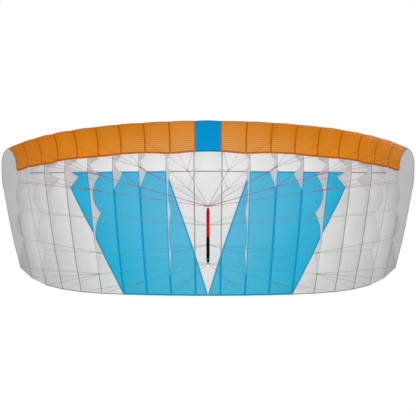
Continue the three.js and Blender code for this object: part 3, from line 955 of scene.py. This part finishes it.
def cut_panel_joints():
    """The open flat skin is cut along the slanting joints."""
    for side in (-1, 1):
        for begin, lean in PANEL_JOINTS:
            bpy.ops.mesh.select_all(action="SELECT")
            square = Vector((side, lean, 0)).normalized()
            bpy.ops.mesh.bisect(plane_co=(side * begin, 0, 0), plane_no=square, threshold=0.0005)
    bpy.ops.mesh.select_all(action="SELECT")
    bpy.ops.mesh.remove_doubles(threshold=0.0015)


def in_blue(cells, down):
    """Whether a place of the flat skin is in a blue panel."""
    inner, outer = (begin - lean * down for begin, lean in PANEL_JOINTS)
    return down > 0 and inner < abs(cells) < min(outer, OUTER_SEAM_RIB)


def skin_station(down, cross_station):
    """Station of a place of the flat skin, where the cross seam is at its own station."""
    if down < 0:
        return cross_station - (cross_station - SEAM_STATION) * down / SKIN_FRONT
    return cross_station + (1 - cross_station) * down


def slant_distance(cells, down, length):
    """Distance to the nearest slanting joint, with the length of cloth below the cross seam."""
    if down <= ON_SEAM:
        return NO_SEAM
    return min(
        abs(side * cells + lean * down - begin) * CELL_WIDTH / hypot(1, lean * CELL_WIDTH / length)
        for side in (-1, 1)
        for begin, lean in PANEL_JOINTS
    )


def hidden_seam(cells, station, blue):
    """How far the seam under the nearest rib is hidden by the rib that is sewn on it."""
    rib = round(abs(cells) + 0.5)
    if rib < 2 or station >= edge_of(rib)[-1][0]:
        return 0.0
    more = rib >= FIRST_OUTER_RIB or station > HIDDEN_MORE_STATION and not blue
    return RIB_OVER_SEAM[blue] * (HIDDEN_MORE if more else 1)


def canopy_skin():
    piece = span_cloth("canopy_skin", SKIN_ROWS, SKIN_FRONT, 1.0)
    cut_panel_joints()
    mesh = lay_cloths(piece, white_skin_cloth(), blue_skin_cloth(), in_blue)
    joints, cut = [], []
    for vertex in mesh.vertices:
        cells, down, _ = vertex.co
        top, chord, _ = cell_frame(cells)
        fall = CROSS_SEAM_FALL * abs(cells / HALF_SPAN) ** 1.2
        cross_station = (top - CROSS_SEAM_Z + fall) / chord
        station = skin_station(down, cross_station)
        rib = hypot(nearest_rib(cells), hidden_seam(cells, station, in_blue(cells, down)))
        across = min(abs(station - SEAM_STATION), abs(station - cross_station)) * chord
        across = min(across, max((1 - station) * chord - TRAILING_HEM, 0.0))
        joints.append((rib, across, slant_distance(cells, down, (1 - cross_station) * chord)))
        cut.append((span_at(cells), station * chord, 0.0))
        vertex.co = cloth_point(cells, run_at(min(max(station, SEAM_STATION), 1)))
    nodes = [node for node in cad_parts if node.startswith("skin_")]
    stretch_on_ribs(piece, joints, cut, "skin_white", nodes)


def hem_drop(cells):
    scallop = HEM_SCALLOP * (cells / HALF_SPAN) ** 2 * fullness(cells)
    drops = [longer * exp(-(((abs(cells) - at) / spread) ** 2)) for at, spread, longer in HEM_DROPS]
    return scallop + sum(drops)


def in_blue_nose(cells, _):
    return abs(cells) < BLUE_NOSE_CELLS


def canopy_nose():
    piece = span_cloth("canopy_nose", NOSE_ROWS, 0.0, 1.0)
    mesh = lay_cloths(piece, orange_nose_cloth(), blue_nose_cloth(), in_blue_nose)
    joints, cut = [], []
    for vertex in mesh.vertices:
        cells, along, _ = vertex.co
        chord = cell_frame(cells)[1]
        begin = -hem_drop(cells) / chord
        run = begin + along * (SEAM_RUN + NOSE_LAP / chord - begin)
        hem, past_seam = (run - begin) * chord, (run - SEAM_RUN) * chord
        joints.append((nearest_rib(cells), min(hem, abs(past_seam)), NO_SEAM))
        cut.append((span_at(cells), hem, 0.0))
        # The hem is turned in twice, and the upper edge lies on the skin.
        lift = HEM_FOLD * (1 - within(hem, *HEM_FOLD_ENDS)) + LAP_LIFT * within(past_seam, -LAP_RISE, 0.0)
        vertex.co = cloth_point(cells, run, lift)
    nodes = ("nose_l", "nose_c", "nose_r")
    stretch_on_ribs(piece, joints, cut, "nose_orange", nodes)


# Ribs


def edge_of(rib):
    if rib == TIP_RIB:
        return TIP_EDGE
    return LONG_EDGE if rib in LONG_RIBS else SHORT_EDGE


def rib_cells(rib):
    inset = TIP_RIB_INSET / CELL_WIDTH if rib == TIP_RIB else 0.0
    return rib - 0.5 - inset


def rib_name(rib, side):
    letter = "l" if side < 0 else "r"
    return f"tip_rib_{letter}" if rib == TIP_RIB else f"rib_{letter}{rib}"


def free_depth(edge, station):
    """Depth of the free edge below the skin at a station, in shares of the chord."""
    for (here, depth, cut, _), (there, next_depth, _, _) in zip(edge, edge[1:]):
        if station <= there:
            share = max(0.0, (station - here) / (there - here))
            return depth + (next_depth - depth) * share - 4 * share * (1 - share) * cut
    return 0.0


def rib_stations(edge):
    """Stations of the rib's columns, closer together where its outline turns."""
    marks = [*NOSE_STATIONS, edge[0][0]]
    for (here, *_), (there, *_) in zip(edge, edge[1:]):
        steps = max(4, round((there - here) / RIB_PITCH))
        marks += [here + (there - here) * (k + 1) / steps for k in range(steps)]
    return marks


def rib_column(cells, edge, station):
    """Upper and lower end of a rib's column, as radius and height."""
    upper = section_point(cells, run_at(station), -RIB_INSET)
    if station <= HEM_STATION:
        return upper, section_point(cells, run_at(station, LOWER_SIDE), -RIB_INSET)
    radius, height = section_point(cells, run_at(station))
    depth = max(free_depth(edge, station) * cell_frame(cells)[1], RIB_INSET + LEAST_RIB)
    return upper, (radius - depth, height)


def point_distance(point, others):
    """Distance from a point to the nearest of others, in a plane."""
    return min(hypot(point[0] - x, point[1] - y) for x, y in others)


def path_distance(point, path):
    """Distance from a point to a bent line, both in a plane."""
    best = 1e9
    for (ax, ay), (bx, by) in zip(path, path[1:]):
        dx, dy = bx - ax, by - ay
        size = dx * dx + dy * dy
        share = min(max(((point[0] - ax) * dx + (point[1] - ay) * dy) / size, 0), 1) if size else 0
        best = min(best, hypot(point[0] - ax - share * dx, point[1] - ay - share * dy))
    return best


def canopy_rib(rib, side, material):
    edge = edge_of(rib)
    cells = rib_cells(rib)
    stations = rib_stations(edge)
    last_column, last_row = len(stations) - 1, len(RIB_ROWS) - 1
    piece = flat_grid(f"cloth_{rib_name(rib, side)}", last_column, last_row)
    bpy.ops.object.mode_set(mode="OBJECT")
    mesh = piece.data
    columns = [rib_column(cells, edge, station) for station in stations]
    under_hem = sum(station <= HEM_STATION for station in stations)
    free = [low for _, low in columns[under_hem:]]
    sewn = [high for high, _ in columns] + [low for _, low in columns[:under_hem]]
    tips = [rib_column(cells, edge, station)[1] for station, _, _, row in edge if row]
    joints, cut = [], []
    for vertex in mesh.vertices:
        high, low = columns[round((vertex.co.x + 1) / 2 * last_column)]
        share = RIB_ROWS[round((1 - vertex.co.y) / 2 * last_row)]
        place = [top + (foot - top) * share for top, foot in zip(high, low)]
        radius, height = place
        joints.append((point_distance(place, sewn), path_distance(place, free), point_distance(place, tips)))
        cut.append((radius, height, 0.0))
        # The cloth between skin and free edge is drawn a little out of its plane.
        bow = RIB_BOW * sin(pi * share) * sin(9 * height + rib)
        vertex.co = to_space(side * (cells + bow / CELL_WIDTH), radius, height)
    mesh.materials.append(material)
    sew_up(piece, joints, cut, RIB_CLOTH, offset=0)
    settle(piece, "rib_cloth", rib_name(rib, side))


def canopy_ribs():
    plain = rib_panel_cloth("rib_panel_cloth", RIB)
    # The inner ribs' warmer, darker shade is painted light.
    inner = rib_panel_cloth("inner_rib_panel_cloth", INNER_RIB)
    # The tip panels' grey is painted shade.
    tip = rib_panel_cloth("tip_panel_cloth", TIP, fuzz=0.0)
    outer = rib_panel_cloth("outer_rib_panel_cloth", OUTER_RIB)
    cloths = {rib: outer if rib >= FIRST_OUTER_RIB else plain for rib in range(1, TIP_RIB)}
    cloths.update({rib: inner for rib in INNER_RIBS})
    cloths[TIP_RIB] = tip
    for side in (-1, 1):
        for rib, cloth in cloths.items():
            canopy_rib(rib, side, cloth)


# Lines


def square_to(way, vector):
    return (vector - way * vector.dot(way)).normalized()


class Lines:
    """Lines of one colour, as round tubes in one mesh. A point knows its turn and its run along the line."""

    def __init__(self):
        self.points, self.faces, self.lay, self.finishes = [], [], [], []
        self.finish = 0

    def tube(self, path, widths, sides=8, closed=False):
        first = len(self.points)
        count = len(path)
        run = 0.0
        side = None
        for k, point in enumerate(path):
            behind = path[k - 1] if k or closed else point
            ahead = path[(k + 1) % count] if k < count - 1 or closed else point
            way = (ahead - behind).normalized()
            if side is None:
                side = way.orthogonal()
            side = square_to(way, side)
            over = way.cross(side)
            if k:
                run += (point - path[k - 1]).length
            for j in range(sides):
                turn = 2 * pi * j / sides
                self.points.append(point + (side * cos(turn) + over * sin(turn)) * widths[k] / 2)
                self.lay.append((cos(turn), sin(turn), run))
        rings = count if closed else count - 1
        for k in range(rings):
            a, b = first + k * sides, first + (k + 1) % count * sides
            for j in range(sides):
                n = (j + 1) % sides
                self.faces.append((a + j, a + n, b + n, b + j))
        if not closed:
            self.faces.append(tuple(reversed(range(first, first + sides))))
            self.faces.append(tuple(range(first + (count - 1) * sides, first + count * sides)))
        self.finishes += [self.finish] * (len(self.faces) - len(self.finishes))

    def whipping(self, centre, axis, across, kind, half=()):
        """Turns laid tight round a bundle of lines, with the ends tucked in."""
        length, width, turns, steps, *own_half = kind
        over = axis.cross(across)
        wide, deep = (size - width / 2 for size in half or own_half * 2)
        path = []
        for k in range(turns * steps + 1):
            angle = 2 * pi * k / steps
            along = (k / (turns * steps) - 0.5) * (length - width)
            path.append(centre + axis * along + across * (cos(angle) * wide) + over * (sin(angle) * deep))
        self.tube(path, [width] * len(path), sides=6)

    def eye(self, centre, axis, across, half, width, steps=12):
        """A closed loop that is longer than wide."""
        turns = [2 * pi * k / steps for k in range(steps)]
        path = [centre + axis * (half[0] * cos(turn)) + across * (half[1] * sin(turn)) for turn in turns]
        self.tube(path, [width] * steps, sides=6, closed=True)

    def piece(self, name, materials):
        mesh = bpy.data.meshes.new(name)
        mesh.from_pydata(self.points, [], self.faces)
        for material in materials:
            mesh.materials.append(material)
        mesh.polygons.foreach_set("material_index", self.finishes)
        vectors(mesh, "lay", self.lay)
        made = bpy.data.objects.new(name, mesh)
        bpy.context.scene.collection.objects.link(made)
        smooth(made, 60)
        return made


def sewn_point(row, rib, side):
    """Where a line of a row is sewn to a rib."""
    cells = rib_cells(rib)
    if row == "a":
        return to_space(side * cells, *section_point(cells, SECTION_RUN[LINE_ROW_A]))
    if row == "brake":
        station, depth = BRAKE_STATION, BRAKE_INSET
    else:
        station, share = next(entry[:2] for entry in edge_of(rib) if entry[3] == row)
        depth = share * cell_frame(cells)[1]
    radius, height = section_point(cells, run_at(station))
    return to_space(side * cells, radius - depth, height)


def upper_line(lines, begin, row, rib, side):
    point = sewn_point(row, rib, side)
    clear, inside = ROW_EYES[row]
    way = (point - begin).normalized()
    end = point - way * (clear + EYE_NECK)
    lines.tube([begin, end], [UPPER_LINE, UPPER_LINE])
    # Its end is an eye passed through the cloth, square to the rib, and held by a short whipping.
    angle = span_at(rib_cells(rib)) / ARC_RADIUS
    across = square_to(way, Vector((cos(angle), -side * sin(angle), 0)))
    half_length, half_width = EYE_HALF
    eye = end + way * (EYE_CENTRE + inside)
    lines.eye(eye, way, across, (half_length + inside, half_width), EYE_STRAND)
    lines.whipping(end - way * EYE_WHIPPING_BACK, way, across, EYE_WHIPPING)


def main_line(lines, begin, joint, side, meeting):
    tree, row, ribs, x, z, splice = joint
    length, bulge = SPLICES[tree]
    sewn = [sewn_point(row, rib, side) for rib in ribs]
    mean_y = sum(point.y for point in sewn) / len(ribs)
    knot = Vector((side * x, meeting.y + CASCADE * (mean_y - meeting.y), z))
    axis = (knot - meeting).normalized()
    across = square_to(axis, sewn[-1] - sewn[0])
    pitch = UPPER_LINE + LINE_GAP
    back = (length, length * SPLICE_SHOULDER, SPLICE_NECK, 0.0)
    lines.tube(
        [begin] + [knot - axis * distance for distance in back],
        [MAIN_LINE[tree], MAIN_LINE[tree], splice, splice, splice * LINE_END],
    )
    half = (len(ribs) * pitch / 2 + bulge, JOINT_HALF_DEPTH + bulge)
    lines.whipping(knot, axis, across, JOINT_WHIPPING, half)
    for k, rib in enumerate(ribs):
        aside = across * ((k - (len(ribs) - 1) / 2) * pitch)
        upper_line(lines, knot + aside - axis * UPPER_TUCK, row, rib, side)


def leader(lines, meeting, bar_z, through):
    """The line from a meeting point to the bar, tied to it or knotted behind its hole."""
    at = Vector((0, 0, bar_z))
    way = (at - meeting).normalized()
    across = Vector((1, 0, 0))
    if through:
        end = BAR_RADIUS + LEADER_PAST
        path = [meeting, at + way * (end - LEADER_TAPER), at + way * end]
        lines.tube(path, [LEADER, LEADER, LEADER * LINE_END])
        lines.whipping(at + way * (BAR_RADIUS + STOPPER_OFF), way, across, STOPPER_KNOT)
    else:
        lines.tube([meeting, at - way * (BAR_RADIUS + LEADER_GAP)], [LEADER, LEADER])
        lines.whipping(at - way * (BAR_RADIUS + BAR_WHIPPING_OFF), way, across, BAR_WHIPPING)


def line_tree(tree, slot, braids):
    """All lines of one colour, with the leader that ties them to the bar in the last braid."""
    lines = Lines()
    y, z, bar_z, through = MEETING[tree]
    meeting = Vector((0, y, z))
    direct = [(row, rib) for name, row, ribs in DIRECT if name == tree for rib in ribs]
    joints = [joint for joint in JOINTS if joint[0] == tree]
    rows = sorted({joint[1] for joint in joints})
    pitch = MAIN_LINE["front"] + LINE_GAP
    widest = 0.0
    for side in (-1, 1):
        for k, (row, rib) in enumerate(direct):
            aside = (k + 0.5) * pitch
            widest = max(widest, aside)
            upper_line(lines, meeting + Vector((side * aside, -MEETING_TUCK, 0)), row, rib, side)
        for joint in joints:
            nearer = sum(other[1] == joint[1] and other[3] < joint[3] for other in joints)
            level = ((len(rows) - 1) / 2 - rows.index(joint[1])) * pitch
            aside = (nearer + len(direct) + 0.5) * pitch
            widest = max(widest, aside)
            main_line(lines, meeting + Vector((side * aside, -MEETING_TUCK, level)), joint, side, meeting)
    half = (widest + MAIN_LINE["front"] / 2 + MEETING_MARGIN, (len(rows) + 1) * MEETING_LAYER)
    lines.whipping(meeting, Vector((0, 1, 0)), Vector((1, 0, 0)), MEETING_WHIPPING, half)
    lines.finish = len(braids) - 1
    leader(lines, meeting, bar_z, through)
    piece = lines.piece(f"{tree}_line_set", [line_finish(braid) for braid in braids])
    settle(piece, slot, f"{tree}_lines")


# Bar


def drill(piece, lean, bar_z):
    """A bore across the bar along its leader, opened out a little at both mouths."""
    near = [(-distance, radius) for distance, radius in BORE_MOUTH]
    cutter = turned("bore", BORE_SIDES, near + list(reversed(BORE_MOUTH)))
    way = Vector((0, cos(lean), sin(lean)))
    turn = Vector((0, 0, 1)).rotation_difference(way).to_matrix().to_4x4()
    cutter.data.transform(Matrix.Translation((0, 0, bar_z)) @ turn)
    apply_modifier(piece, "BOOLEAN", object=cutter, operation="DIFFERENCE", solver="EXACT")
    bpy.data.objects.remove(cutter)


def bar_half(colour, node, side, end, tree, shades):
    """One half of the bar, with the hole for the leader of a tree."""
    y, z, hole_z, _ = MEETING[tree]
    joint = BAR_COLOUR_JOINT_Z + side * BAR_SLIT / 2
    profile = [(joint + side * away, share) for away, share in BAR_MIDDLE]
    profile += [(side * (BAR_HALF - away), share) for away, share in end]
    piece = turned(f"{colour}_grip", BAR_SIDES, profile, BAR_RADIUS)
    drill(piece, atan2(z - hole_z, y), hole_z)
    piece.data.materials.clear()
    piece.data.materials.append(grip_finish(f"{colour}_moulded_grip", shades, hole_z))
    smooth(piece, 35)
    settle(piece, f"grip_{colour}", node)


place_camera()
place_key()
place_fills()
place_wall()
place_floor()

canopy_skin()
canopy_nose()
canopy_ribs()
for tree_name, tree_slot, tree_braids in TREES:
    line_tree(tree_name, tree_slot, tree_braids)
bar_half("red", "bar_front", 1, FRONT_END, "front", RED_GRIP)
bar_half("black", "bar_rear", -1, REAR_END, "brake", BLACK_GRIP)
